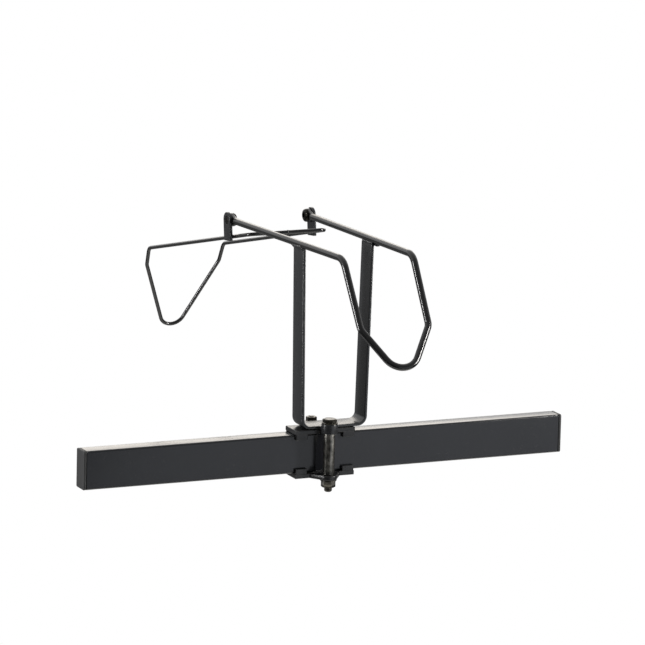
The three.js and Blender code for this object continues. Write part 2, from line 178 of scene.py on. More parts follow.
def satin_powder_coat(name, coat, thin_coat, gloss, peel_mm, peel_depth_mm):
    """Black polyester powder coat on steel. gloss is the middle of its roughness."""
    made, tree = new_material(name)
    where = add_node(tree, "ShaderNodeTexCoord").outputs["Object"]
    film, touched, pigment, peel = [
        add_node(
            tree,
            "ShaderNodeTexNoise",
            {"Vector": where, "Scale": per_metre(size), "Detail": detail},
        ).outputs["Fac"]
        for size, detail in (FILM, TOUCHED, PIGMENT, (peel_mm, PEEL_DETAIL))
    ]
    tone = add_node(
        tree, "ShaderNodeMix", {0: film, 6: linear(coat), 7: linear(thin_coat)}, data_type="RGBA"
    )
    dust = add_node(tree, "ShaderNodeTexVoronoi", {"Vector": where, "Scale": per_metre(DUST_GAP)})
    # A speck is the small round middle of a cell, mixed in at a quarter of its strength.
    speck = add_node(tree, "ShaderNodeMapRange", {"Value": dust.outputs["Distance"], **SPECK})
    dusty = add_node(
        tree,
        "ShaderNodeMix",
        {0: speck.outputs["Result"], 6: tone.outputs[2], 7: linear(DUST)},
        data_type="RGBA",
    )
    sheen = add_node(
        tree,
        "ShaderNodeMapRange",
        {"Value": touched, **NOISE_SPAN, "To Min": 0.94 * gloss, "To Max": 1.1 * gloss},
    )
    depth = peel_depth_mm * MM
    fine = add_node(
        tree, "ShaderNodeBump", {"Height": pigment, "Strength": 0.2, "Distance": depth / 5}
    )
    skin = add_node(
        tree,
        "ShaderNodeBump",
        {"Height": peel, "Strength": 0.6, "Distance": depth, "Normal": fine.outputs["Normal"]},
    )
    paint = add_node(
        tree,
        "ShaderNodeBsdfPrincipled",
        {
            "Base Color": dusty.outputs[2],
            "Roughness": sheen.outputs["Result"],
            "Normal": skin.outputs["Normal"],
            "IOR": 1.5,
        },
    )
    add_node(tree, "ShaderNodeOutputMaterial", {"Surface": paint.outputs["BSDF"]})
    return made


rail_coat, bar_coat, rod_coat, cast_coat = [
    satin_powder_coat(f"satin_powder_coat_on_{stock}", *values)
    for stock, *values in (
        ("box_tube", "16171a", "1d1e21", 0.19, 2.2, 0.012),
        ("flat_bar", "191a1c", "202123", 0.27, 2.0, 0.012),
        ("bent_rod", "0e0e0f", "151516", 0.17, 1.6, 0.002),
        ("cast_steel", "121213", "1b1b1c", 0.27, 1.4, 0.09),
    )
]
print("powder coats:", rail_coat.name, bar_coat.name, rod_coat.name, cast_coat.name)

# %% [markdown]
# ## Black oxide and black zinc
#
# Bolts and nuts are blackened in a hot salt bath. The film is a few microns of magnetite, so
# the steel still reads as a metal: dark, slightly brown, and a little duller than the paint.
# The two sleeves are cut from drawn tube and black zinc plated, which leaves lengthwise
# drawing lines and a patchy grey bloom. Both are a dark film on bare metal, so one function
# makes them: they differ in colour, and the sleeves' grain is stretched along their length.


# %% Metal finishes
BLOOM = (6, 4.0)  # millimetres across a paler patch of the film, and its detail


def dark_metal(name, dark, pale, gloss, grain_mm, stretch, bump_mm):
    """A thin dark film on bare metal. stretch draws the grain out along Z, as drawing does."""
    made, tree = new_material(name)
    where = add_node(tree, "ShaderNodeTexCoord").outputs["Object"]
    drawn = add_node(
        tree, "ShaderNodeMapping", {"Vector": where, "Scale": (1.0, 1.0, 1 / stretch)}
    ).outputs["Vector"]
    grain = add_node(
        tree,
        "ShaderNodeTexNoise",
        {"Vector": drawn, "Scale": per_metre(grain_mm), "Detail": 6.0, "Roughness": 0.62},
    ).outputs["Fac"]
    bloom = add_node(
        tree,
        "ShaderNodeTexNoise",
        {"Vector": where, "Scale": per_metre(BLOOM[0]), "Detail": BLOOM[1]},
    )
    patch = add_node(
        tree,
        "ShaderNodeMapRange",
        {"Value": bloom.outputs["Fac"], "From Min": 0.35, "From Max": 0.68},
    )
    film = add_node(
        tree,
        "ShaderNodeMix",
        {0: patch.outputs["Result"], 6: linear(dark), 7: linear(pale)},
        data_type="RGBA",
    )
    sheen = add_node(
        tree,
        "ShaderNodeMapRange",
        {"Value": grain, **NOISE_SPAN, "To Min": gloss - 0.08, "To Max": gloss + 0.12},
    )
    relief = add_node(
        tree, "ShaderNodeBump", {"Height": grain, "Strength": 0.5, "Distance": bump_mm * MM}
    )
    metal = add_node(
        tree,
        "ShaderNodeBsdfPrincipled",
        {
            "Base Color": film.outputs[2],
            "Metallic": 1.0,
            "Roughness": sheen.outputs["Result"],
            "Normal": relief.outputs["Normal"],
        },
    )
    add_node(tree, "ShaderNodeOutputMaterial", {"Surface": metal.outputs["BSDF"]})
    return made


black_oxide = dark_metal("black_oxide_on_bolt_steel", "302f2c", "5b5851", 0.3, 0.6, 1.0, 0.04)
black_zinc = dark_metal("black_zinc_on_drawn_tube", "454543", "84827c", 0.3, 0.8, 5.0, 0.05)
pin_oxide = dark_metal("black_oxide_on_pivot_bolt", "171614", "2f2d2a", 0.28, 0.6, 1.0, 0.03)
print("metal finishes:", black_oxide.name, black_zinc.name, pin_oxide.name)

# %% [markdown]
# ## Moulded plastic
#
# The plugs in the rail's ends are polyethylene from a spark-eroded mould. The mould prints an
# even fine grain on them, about half a millimetre across, and leaves them matt, with no metal
# in them. A slow change towards a paler black stands for the way the melt flowed.


# %% Plastic
FLOW = (12, 2.0)  # millimetres across a flow mark, and its detail


def moulded_plastic(name, colour, pale, grain_mm):
    """Polyethylene from a spark-eroded mould: matt, with an even fine grain."""
    made, tree = new_material(name)
    where = add_node(tree, "ShaderNodeTexCoord").outputs["Object"]
    grain, flow = [
        add_node(
            tree,
            "ShaderNodeTexNoise",
            {"Vector": where, "Scale": per_metre(size), "Detail": detail},
        ).outputs["Fac"]
        for size, detail in ((grain_mm, 3.0), FLOW)
    ]
    tone = add_node(
        tree, "ShaderNodeMix", {0: flow, 6: linear(colour), 7: linear(pale)}, data_type="RGBA"
    )
    sheen = add_node(tree, "ShaderNodeMapRange", {"Value": grain, "To Min": 0.48, "To Max": 0.66})
    relief = add_node(
        tree, "ShaderNodeBump", {"Height": grain, "Strength": 0.5, "Distance": 0.05 * MM}
    )
    plastic = add_node(
        tree,
        "ShaderNodeBsdfPrincipled",
        {
            "Base Color": tone.outputs[2],
            "Roughness": sheen.outputs["Result"],
            "Normal": relief.outputs["Normal"],
            "IOR": 1.51,
        },
    )
    add_node(tree, "ShaderNodeOutputMaterial", {"Surface": plastic.outputs["BSDF"]})
    return made


polyethylene = moulded_plastic("moulded_black_polyethylene", "19191a", "232324", 0.5)
print("plastic:", polyethylene.name)

# %% [markdown]
# ## Finished pieces
#
# Each finished piece rides on one body of the fixed model, so that it moves when the model
# does, and stands for the plain node it replaces. Its object stays at the origin with its
# place in its mesh. Flat faces stay flat and curved ones are smooth: an edge is sharp only
# where its two faces meet at more than a set angle.

# %% Objects, shading and riding
SHARP_ANGLE = math.radians(38)
MERGE = 0.0005 * MM  # points closer than this are one point
BODIES = frame["record"]["behaviour"]["bodies"]
BODY = {node: body for body, nodes in BODIES.items() for node in nodes}


def new_object(name, data):
    """An object at the origin that holds this mesh, curve, lamp or camera."""
    made = bpy.data.objects.new(name, data)
    bpy.context.scene.collection.objects.link(made)
    return made


def mesh_of(bm):
    """A mesh from a bmesh, its faces turned to point out."""
    bmesh.ops.remove_doubles(bm, verts=bm.verts, dist=MERGE)
    bmesh.ops.recalc_face_normals(bm, faces=bm.faces)
    made = bpy.data.meshes.new("shape")
    bm.to_mesh(made)
    bm.free()
    return made


def finish_piece(piece, node, finish, stands_for=True):
    """Gives a piece its paint and its body, and says which plain node it stands for."""
    piece.data.materials.clear()
    piece.data.materials.append(finish)
    for face in piece.data.polygons:
        face.material_index = 0
    piece.data.shade_smooth()
    piece.data.set_sharp_from_angle(angle=SHARP_ANGLE)
    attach(piece, BODY[node])
    if stands_for:
        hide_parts(node)
    low = Vector([min(v.co[i] for v in piece.data.vertices) for i in range(3)])
    high = Vector([max(v.co[i] for v in piece.data.vertices) for i in range(3)])
    node_low, node_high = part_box(node)
    proud = max(max(node_low - low), max(high - node_high)) / MM
    print(f"{piece.name}: {len(piece.data.polygons)} faces, {proud:.2f} mm proud of {node}")


def applied(piece):
    """Runs a piece's modifiers, keeps the result as its plain mesh and removes them."""
    graph = bpy.context.evaluated_depsgraph_get()
    made = bpy.data.meshes.new_from_object(piece.evaluated_get(graph))
    piece.modifiers.clear()
    piece.data = made
    return piece


def combined(name, first, *steps):
    """A piece made from one mesh by joining, cutting or intersecting it with others in turn."""
    piece = new_object(name, first)
    tools = [new_object(f"{name}_tool", mesh) for _, mesh in steps]
    for (operation, _), tool in zip(steps, tools):
        boolean = piece.modifiers.new(operation, "BOOLEAN")
        boolean.operation = operation
        boolean.solver = "EXACT"
        boolean.object = tool
    applied(piece)
    for tool in tools:
        bpy.data.objects.remove(tool)
    return piece


# %% [markdown]
# ## Plates with rounded edges
#
# Flat parts are cut from sheet and then tumbled, so every edge has a small radius that
# catches the light. A closed flat curve is the quickest way to such a plate: Blender fills
# it, leaves its inner loops as holes, thickens it and rounds its edges in one step. The curve
# is made a mesh before it is put in place.


# %% Outlines and plates
def arc(x, y, radius, start, end, steps=16):
    """Points along a circular arc, with its angles in degrees."""
    angles = [math.radians(start + (end - start) * i / steps) for i in range(steps + 1)]
    return [(x + radius * math.cos(a), y + radius * math.sin(a)) for a in angles]


def circle(x, y, radius, steps=48):
    """A whole circle's points."""
    return arc(x, y, radius, 0, 360, steps)[:-1]


def rounded_box(width, height, radius, steps=8):
    """A rectangle about the origin with round corners."""
    across, up = width / 2 - radius, height / 2 - radius
    quarters = [(across, up, 0), (-across, up, 90), (-across, -up, 180), (across, -up, 270)]
    return [p for x, y, a in quarters for p in arc(x, y, radius, a, a + 90, steps)]


def flat_plate(loops, thickness, edge, matrix):
    """A plate from outlines in millimetres: the first is its rim and the others are holes."""
    curve = bpy.data.curves.new("plate", "CURVE")
    curve.dimensions = "2D"
    curve.fill_mode = "BOTH"
    curve.extrude = (thickness / 2 - edge) * MM
    curve.bevel_depth = edge * MM
    curve.bevel_resolution = 3
    curve.offset = -edge * MM
    for loop in loops:
        spline = curve.splines.new("POLY")
        spline.points.add(len(loop) - 1)
        for point, (x, y) in zip(spline.points, loop):
            point.co = (x * MM, y * MM, 0, 1)
        spline.use_cyclic_u = True
    carrier = new_object("plate", curve)
    graph = bpy.context.evaluated_depsgraph_get()
    made = bpy.data.meshes.new_from_object(carrier.evaluated_get(graph))
    bpy.data.objects.remove(carrier)
    made.transform(matrix)
    bm = bmesh.new()
    bm.from_mesh(made)
    return mesh_of(bm)


def lying(x, y, z):
    """Puts a plate level, with its middle at a point in millimetres from the datum."""
    return Matrix.Translation(place(x, y, z))


def facing_sideways(x, y, z, lean=0.0):
    """Stands a plate up in the plane across the rail: its x runs back and its y runs up."""
    upright = Matrix(((0, 0, 1, 0), (1, 0, 0, 0), (0, 1, 0, 0), (0, 0, 0, 1)))
    return Matrix.Translation(place(x, y, z)) @ Matrix.Rotation(lean, 4, "X") @ upright


# %% [markdown]
# ## The rail
#
# The rail is a length of 40 by 20 mm box tube with 2 mm walls. Box tube is rolled round from
# strip and welded, so its corners are always rounded, on the outside about as much as the
# wall is thick. The two ends are closed by push-in plugs with a thin flat head.

# %% Rail and end plugs
HANDS = ((1, "right"), (-1, "left"))
WALL = 2.0
RAIL_EDGE = 2.0
SAWN_EDGE = 0.25
PLUG_HEAD = 3.0
PLUG_HEAD_EDGE = 0.8
PLUG_SLACK = 0.6
PLUG_WALL = 2.0
PLUG_EDGE = 0.15
PLUG_OVERLAP = 0.4  # how far the plug's sleeve runs into its head, so that the two unite
rail_size = (rail_high - rail_low) / MM
rail_outline = rounded_box(rail_size.y, rail_size.z, RAIL_EDGE)
rail_bore = rounded_box(rail_size.y - 2 * WALL, rail_size.z - 2 * WALL, RAIL_EDGE / 2)
rail_middle = (node_middle("rail") - datum) / MM

rail_tube = new_object(
    "rail_tube",
    flat_plate([rail_outline, rail_bore], rail_size.x, SAWN_EDGE, facing_sideways(*rail_middle)),
)
finish_piece(rail_tube, "rail", rail_coat)

plug_depth = rail_size.y - 2 * WALL - PLUG_SLACK
plug_height = rail_size.z - 2 * WALL - PLUG_SLACK
plug_loops = [
    rounded_box(plug_depth, plug_height, 0.8),
    rounded_box(plug_depth - 2 * PLUG_WALL, plug_height - 2 * PLUG_WALL, 0.6),
]
for side, hand in HANDS:
    node = f"rail_end_plug_{hand}"
    low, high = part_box(node)
    outer_x = (max(high.x, low.x, key=abs) - datum.x) / MM
    inside = (high.x - low.x) / MM - PLUG_HEAD
    cap_x = outer_x - side * PLUG_HEAD / 2
    body_x = outer_x - side * (PLUG_HEAD + inside / 2 - PLUG_OVERLAP / 2)
    cap = flat_plate(
        [rail_outline],
        PLUG_HEAD,
        PLUG_HEAD_EDGE,
        facing_sideways(cap_x, rail_middle.y, rail_middle.z),
    )
    plug_body = flat_plate(
        plug_loops,
        inside + PLUG_OVERLAP,
        PLUG_EDGE,
        facing_sideways(body_x, rail_middle.y, rail_middle.z),
    )
    finish_piece(combined(f"end_plug_{hand}", cap, ("UNION", plug_body)), node, polyethylene)

# %% [markdown]
# ## The clamp jaws
#
# Two jaws grip the rail from above and below. Each is a thick casting with four short lips
# that hook over the rail's front and back faces, so the clamp cannot turn. The long bolts go
# through tongues that stick out in front and behind. The slab and its lips are made apart and
# united, because then the lips' roots meet the slab in a clean line.

# %% Clamp jaws
CLAMP_X = (node_middle("spacer_sleeve_front").x - datum.x) / MM
BOLT_Y = (node_middle("spacer_sleeve_rear").y - datum.y) / MM
BOLT_GAP = 0.3
SHANK_FRONT = 4.0
SHANK_REAR = 3.0
JAW_THICKNESS = 4.7
JAW_EDGE = 0.7
LIP = {"width": 13.0, "thickness": 3.0, "reach": 5.0, "inset": 0.25, "gap": 0.3}
LIP_CORNER = 0.8
LIP_EDGE = 0.5
TONGUE_TIP = 9.0
TONGUE_ROOT = 17.0
SLAB_DEPTH = rail_size.y / 2 + LIP["gap"] + LIP["thickness"] + LIP["inset"]
upper_jaw_low, upper_jaw_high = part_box("upper_clamp_plate")
jaw_half = (upper_jaw_high.x - upper_jaw_low.x) / MM / 2


def jaw_outline(front, rear):
    """A jaw's rim from above, with a tapered tongue in front, behind, or both."""
    right = [(jaw_half, -SLAB_DEPTH), (jaw_half, SLAB_DEPTH)]
    tip = arc(0, BOLT_Y, TONGUE_TIP, 20, 160)
    behind = [(TONGUE_ROOT, SLAB_DEPTH), *tip, (-TONGUE_ROOT, SLAB_DEPTH)]
    left = [(-jaw_half, SLAB_DEPTH), (-jaw_half, -SLAB_DEPTH)]
    ahead = [(-x, -y) for x, y in behind]
    return right + (behind if rear else []) + left + (ahead if front else [])


def jaw(name, middle_z, lip_side, front, rear):
    """A jaw's slab and its four lips. lip_side is -1 for lips that hang down."""
    holes = [circle(0, -BOLT_Y, SHANK_FRONT + BOLT_GAP)] * front
    holes += [circle(0, BOLT_Y, SHANK_REAR + BOLT_GAP)] * rear
    loops = [jaw_outline(front, rear), *holes]
    slab = flat_plate(loops, JAW_THICKNESS, JAW_EDGE, lying(CLAMP_X, 0, middle_z))
    lip_rim = rounded_box(LIP["width"], LIP["thickness"], LIP_CORNER)
    lip_y = rail_size.y / 2 + LIP["gap"] + LIP["thickness"] / 2
    lip_x = jaw_half - LIP["inset"] - LIP["width"] / 2
    drop = LIP["gap"] + LIP["reach"] + JAW_THICKNESS / 2
    lip_z = middle_z + lip_side * drop / 2
    lips = [
        flat_plate([lip_rim], drop, LIP_EDGE, lying(CLAMP_X + sx * lip_x, sy * lip_y, lip_z))
        for sx in (-1, 1)
        for sy in (-1, 1)
    ]
    return combined(name, slab, *[("UNION", lip) for lip in lips])


upper_middle = levels("upper_clamp_plate")[1] - JAW_THICKNESS / 2
lower_middle = levels("lower_clamp_plate")[0] + JAW_THICKNESS / 2
finish_piece(jaw("upper_jaw", upper_middle, -1, False, True), "upper_clamp_plate", cast_coat)
finish_piece(jaw("lower_jaw", lower_middle, 1, True, True), "lower_clamp_plate", cast_coat)

# %% [markdown]
# ## Bending bar and rod
#
# The yoke and both hoops are made on a bending machine: straight runs of stock with an arc at
# each bend. The centre line is written the same way, as a list of corners with a bend radius
# at each, and a function turns it into points. Geometry Nodes then sweep the stock's section
# along that line, which is what the machine does, so a thicker rod is one number away.


# %% The bender's centre line
BEND_STEP = math.radians(3)


def bent_line(corners):
    """Points in metres along straight runs, with an arc at each corner that has a radius."""
    points = []
    count = len(corners)
    for i, (at, radius) in enumerate(corners):
        at = place(*at)
        if not radius:
            points.append(at)
            continue
        arriving = (at - place(*corners[i - 1][0])).normalized()
        leaving = (place(*corners[(i + 1) % count][0]) - at).normalized()
        turn = arriving.angle(leaving)
        axis = arriving.cross(leaving).normalized()
        start = at - arriving * radius * MM * math.tan(turn / 2)
        inward = axis.cross(arriving)
        centre = start + inward * radius * MM
        steps = max(4, math.ceil(turn / BEND_STEP))
        for k in range(steps + 1):
            spoke = inward * -radius * MM
            spoke.rotate(Matrix.Rotation(turn * k / steps, 3, axis))
            points.append(centre + spoke)
    return points


def line_mesh(points, closed=False):
    """A chain of edges through the points, leaving out any that repeat the one before."""
    points = [
        point
        for i, point in enumerate(points)
        if i == 0 or (point - points[i - 1]).length > 2 * MERGE
    ]
    count = len(points)
    edges = [(i, (i + 1) % count) for i in range(count if closed else count - 1)]
    made = bpy.data.meshes.new("line")
    made.from_pydata(points, edges, [])
    return made


# %% Trees and how they are run
def tree_inputs(tree, **kinds):
    """Declares a tree's named inputs, each with its kind of socket, and its one output."""
    tree.interface.new_socket("Line", in_out="INPUT", socket_type="NodeSocketGeometry")
    for name, kind in kinds.items():
        label = name.replace("_", " ")
        tree.interface.new_socket(label, in_out="INPUT", socket_type=f"NodeSocket{kind}")
    tree.interface.new_socket("Piece", in_out="OUTPUT", socket_type="NodeSocketGeometry")
    return add_node(tree, "NodeGroupInput").outputs


def tree_end(tree, shape, finish):
    """Ends a tree: instances are made real and the finish is set."""
    real = add_node(tree, "GeometryNodeRealizeInstances", {"Geometry": shape})
    coated = add_node(
        tree, "GeometryNodeSetMaterial", {"Geometry": real.outputs["Geometry"], "Material": finish}
    )
    end = add_node(tree, "NodeGroupOutput")
    tree.links.new(coated.outputs["Geometry"], end.inputs["Piece"])


def run_tree(name, line, tree, **values):
    """Runs a tree on a line and keeps the result as a plain mesh."""
    piece = new_object(name, line)
    modifier = piece.modifiers.new(tree.name, "NODES")
    modifier.node_group = tree
    sockets = {s.name: s.identifier for s in tree.interface.items_tree if s.in_out == "INPUT"}
    for key, value in values.items():
        modifier[sockets[key.replace("_", " ")]] = value
    return applied(piece)


def swept(tree, path, section, finish):
    """Ends a tree with a section swept along its path, closed at both ends."""
    sweep = {"Curve": path, "Profile Curve": section, "Fill Caps": True}
    tree_end(tree, add_node(tree, "GeometryNodeCurveToMesh", sweep).outputs["Mesh"], finish)


# %% A tree that sweeps round rod
rod_bender = bpy.data.node_groups.new("bend_round_rod", "GeometryNodeTree")
given = tree_inputs(rod_bender, Rod_radius="Float", Sides="Int", Finish="Material")
centre_line = add_node(rod_bender, "GeometryNodeMeshToCurve", {"Mesh": given["Line"]})
section = add_node(
    rod_bender,
    "GeometryNodeCurvePrimitiveCircle",
    {"Resolution": given["Sides"], "Radius": given["Rod radius"]},
)
swept(rod_bender, centre_line.outputs["Curve"], section.outputs["Curve"], given["Finish"])
print("inputs of", rod_bender.name, [socket.name for socket in given if socket.name])

# %% A tree that sweeps flat bar
bar_bender = bpy.data.node_groups.new("bend_flat_bar", "GeometryNodeTree")
given = tree_inputs(
    bar_bender,
    Bar_width="Float",
    Bar_thickness="Float",
    Edge_radius="Float",
    Edge_steps="Int",
    Finish="Material",
)
centre_line = add_node(bar_bender, "GeometryNodeMeshToCurve", {"Mesh": given["Line"]})
upright = add_node(
    bar_bender, "GeometryNodeSetCurveNormal", {"Curve": centre_line.outputs["Curve"]}, mode="Z_UP"
)
section = add_node(
    bar_bender,
    "GeometryNodeCurvePrimitiveQuadrilateral",
    {"Width": given["Bar width"], "Height": given["Bar thickness"]},
)
rounded = add_node(
    bar_bender,
    "GeometryNodeFilletCurve",
    {
        "Curve": section.outputs["Curve"],
        "Radius": given["Edge radius"],
        "Count": given["Edge steps"],
    },
    mode="POLY",
)
swept(bar_bender, upright.outputs["Curve"], rounded.outputs["Curve"], given["Finish"])
print("inputs of", bar_bender.name, [socket.name for socket in given if socket.name])

# %% [markdown]
# ## Turned pieces and boolean joins
#
# Sleeves, collars and bolt shanks are turned, so a profile spun round an axis makes them, just
# as a lathe does. Rounding a profile's corners gives each edge the small radius a tool leaves.
# Hexagons are milled afterwards: a boolean with a prism does the same to the mesh.


# %% Profiles, turning and booleans
def outline(*corners, steps=5):
    """Points round a shape. A corner is x, y, and a radius where it is rounded."""
    points = []
    for i, (x, y, *radius) in enumerate(corners):
        if not radius:
            points.append((x, y))
            continue
        here = Vector((x, y))
        before = (Vector(corners[i - 1][:2]) - here).normalized()
        after = (Vector(corners[(i + 1) % len(corners)][:2]) - here).normalized()
        half = before.angle(after) / 2
        middle = here + (before + after).normalized() * radius[0] / math.sin(half)
        first = here + before * radius[0] / math.tan(half) - middle
        last = here + after * radius[0] / math.tan(half) - middle
        start = math.degrees(math.atan2(first.y, first.x))
        turn = (math.degrees(math.atan2(last.y, last.x)) - start + 180) % 360 - 180
        points += arc(middle.x, middle.y, radius[0], start, start + turn, steps)
    return points


def turned(points, matrix, sides=96):
    """Spins (radius, height) points in millimetres round Z, then puts the piece in place."""
    bm = bmesh.new()
    ring = [bm.verts.new((r * MM, 0, z * MM)) for r, z in points]
    rim = [bm.edges.new((ring[i - 1], ring[i])) for i in range(len(ring))]
    axis_edges = [e for e in rim if max(v.co.x for v in e.verts) < 1e-9]
    bmesh.ops.delete(bm, geom=axis_edges, context="EDGES")
    bmesh.ops.spin(
        bm,
        geom=bm.verts[:] + bm.edges[:],
        angle=math.tau,
        steps=sides,
        axis=(0, 0, 1),
        cent=(0, 0, 0),
    )
    bmesh.ops.remove_doubles(bm, verts=bm.verts, dist=MERGE)
    bm.transform(matrix)
    return mesh_of(bm)


def standing(x, y):
    """An upright axis through a point in millimetres from the datum."""
    return Matrix.Translation(place(x, y, 0))


def hexagon(across_flats, turn=90, corner=0.3):
    """A hexagon's corners, slightly rounded."""
    angles = [math.radians(turn + 60 * i) for i in range(6)]
    reach = across_flats / math.sqrt(3)
    return outline(*[(reach * math.cos(a), reach * math.sin(a), corner) for a in angles], steps=3)


def joined(piece, *extras):
    """Adds loose extra meshes, such as a thread's ridge, to a piece's own mesh."""
    bm = bmesh.new()
    bm.from_mesh(piece.data)
    for extra in extras:
        bm.from_mesh(extra)
    made = bpy.data.meshes.new(piece.name)
    bm.to_mesh(made)
    bm.free()
    piece.data = made


RIDGE_RADIUS = 0.28  # as a share of the thread's pitch
STEPS_PER_TURN = 40


def thread(radius, pitch, low, high, x, y):
    """The raised ridge of a screw thread: a thin rod swept along a helix."""
    turns = (high - low) / pitch
    count = max(2, round(turns * STEPS_PER_TURN))
    points = []
    for i in range(count + 1):
        angle = math.tau * turns * i / count
        z = low + (high - low) * i / count
        points.append(place(x + radius * math.cos(angle), y + radius * math.sin(angle), z))
    ridge = run_tree(
        "thread",
        line_mesh(points),
        rod_bender,
        Rod_radius=RIDGE_RADIUS * pitch * MM,
        Sides=6,
        Finish=black_oxide,
    )
    made = ridge.data
    bpy.data.objects.remove(ridge)
    return made


# %% [markdown]
# ## Sleeves, collar, bolts and nuts
#
# Each long bolt runs through a sleeve beside the rail, so that tightening it pulls the jaws
# together without bending their tongues. The front bolt has a flanged head that sits on a
# thick collar welded to the yoke. The rear bolt comes up from below and ends in a plain nut.

# %% Sleeves and collar
SLEEVE_RADIUS = 5.85
COLLAR_RADIUS = 8.5
LOWER_BOTTOM = -rail_size.z - LIP["gap"] - JAW_THICKNESS
front_axis = standing(CLAMP_X, -BOLT_Y)
rear_axis = standing(CLAMP_X, BOLT_Y)


def ring_section(node, bore, rim, bore_edge, rim_edge):
    """Half the section of a ring that stands between a node's lowest and highest level."""
    low, high = levels(node)
    below = [(bore, low, bore_edge), (rim, low, rim_edge)]
    return outline(*below, (rim, high, rim_edge), (bore, high, bore_edge))


for end, axis, shank in (("front", front_axis, SHANK_FRONT), ("rear", rear_axis, SHANK_REAR)):
    node = f"spacer_sleeve_{end}"
    tube = ring_section(node, shank + BOLT_GAP, SLEEVE_RADIUS, 0.3, 0.35)
    finish_piece(new_object(f"sleeve_{end}", turned(tube, axis)), node, black_zinc)

collar_node = "clamp_collar_front"
collar_section = ring_section(collar_node, SHANK_FRONT + BOLT_GAP, COLLAR_RADIUS, 0.4, 0.8)
finish_piece(new_object("collar", turned(collar_section, front_axis)), collar_node, bar_coat)

# %% Hexagons and holes
HEX_EDGE = 0.12
BORE_SLACK = 0.1
DRILL_LENGTH = 20


def milled(name, flats, height, y, middle, cone, *steps):
    """A hexagon whose corners are turned off by a cone, and what is then done to it."""
    blank = flat_plate([hexagon(flats)], height, HEX_EDGE, lying(CLAMP_X, y, middle))
    return combined(name, blank, ("INTERSECT", turned(cone, standing(CLAMP_X, y))), *steps)


def drilled(shank, y, middle):
    """The step that cuts a nut's hole for a shank of this radius."""
    rim = circle(0, 0, shank + BORE_SLACK)
    return ("DIFFERENCE", flat_plate([rim], DRILL_LENGTH, 0.1, lying(CLAMP_X, y, middle)))


# %% Front bolt and its flanged nut
FRONT_FLATS = 13
FRONT_PITCH = 1.25
FRONT_CORE = SHANK_FRONT - 0.15
HEAD_FLANGE = 8.2
HEAD_FLANGE_TOP = 1.5
HEAD_TOP = 4.8
HEAD_HEX = 4.3
HEAD_HEX_MIDDLE = 2.75
seat = levels("clamp_collar_front")[1] + BOLT_GAP
bolt_end = levels("clamp_bolt_front")[0]
front_shank = outline(
    (0, bolt_end),
    (SHANK_FRONT - 1, bolt_end, 0.2),
    (FRONT_CORE, bolt_end + 1, 0.2),
    (FRONT_CORE, seat),
    (HEAD_FLANGE, seat, 0.25),
    (HEAD_FLANGE, seat + 0.8, 0.35),
    (6.4, seat + HEAD_FLANGE_TOP, 0.3),
    (0, seat + HEAD_FLANGE_TOP),
)
head_cone = outline(
    (0, seat),
    (FRONT_FLATS, seat),
    (8.5, seat + 3.4),
    (5.9, seat + HEAD_TOP, 0.3),
    (0, seat + HEAD_TOP),
)
front_bolt = milled(
    "front_bolt",
    FRONT_FLATS,
    HEAD_HEX,
    -BOLT_Y,
    seat + HEAD_HEX_MIDDLE,
    head_cone,
    ("UNION", turned(front_shank, front_axis)),
)
front_thread = (SHANK_FRONT - 0.25, FRONT_PITCH, bolt_end + 0.9, LOWER_BOTTOM)
joined(front_bolt, thread(*front_thread, CLAMP_X, -BOLT_Y))
finish_piece(front_bolt, "clamp_bolt_front", black_oxide)

NUT_HEIGHT = 8
NUT_FLANGE = 8.5
nut_top = LOWER_BOTTOM - BOLT_GAP
nut_foot = nut_top - NUT_HEIGHT
nut_middle = nut_top - NUT_HEIGHT / 2
flange = outline(
    (0, nut_top - 1.8),
    (6.4, nut_top - 1.8),
    (NUT_FLANGE, nut_top - 0.9, 0.3),
    (NUT_FLANGE, nut_top, 0.2),
    (0, nut_top),
)
nut_cone = outline(
    (0, nut_foot), (6.0, nut_foot, 0.3), (8.4, nut_top - 6.8), (FRONT_FLATS, nut_top), (0, nut_top)
)
front_nut = milled(
    "front_nut",
    FRONT_FLATS,
    NUT_HEIGHT,
    -BOLT_Y,
    nut_middle,
    nut_cone,
    ("UNION", turned(flange, front_axis)),
    drilled(SHANK_FRONT, -BOLT_Y, nut_middle),
)
finish_piece(front_nut, "clamp_nut_front", black_oxide)

# %% Rear bolt and its plain nut
REAR_FLATS = 10
REAR_PITCH = 1.0
REAR_CORE = SHANK_REAR - 0.1
REAR_HEAD = 4
rear_end = levels("clamp_bolt_rear")[1]
rear_seat = LOWER_BOTTOM - BOLT_GAP
rear_foot = rear_seat - REAR_HEAD
rear_middle = rear_seat - REAR_HEAD / 2
rear_shank = outline(
    (0, rear_middle),
    (REAR_CORE, rear_middle),
    (REAR_CORE, rear_end - 0.8, 0.2),
    (SHANK_REAR - 0.8, rear_end, 0.2),
    (0, rear_end),
)
rear_cone = outline(
    (0, rear_foot), (4.6, rear_foot, 0.3), (6.4, rear_seat - 3), (9, rear_seat), (0, rear_seat)
)
rear_bolt = milled(
    "rear_bolt",
    REAR_FLATS,
    REAR_HEAD,
    BOLT_Y,
    rear_middle,
    rear_cone,
    ("UNION", turned(rear_shank, rear_axis)),
)
joined(rear_bolt, thread(SHANK_REAR - 0.2, REAR_PITCH, 0, rear_end - 0.5, CLAMP_X, BOLT_Y))
finish_piece(rear_bolt, "clamp_bolt_rear", black_oxide)

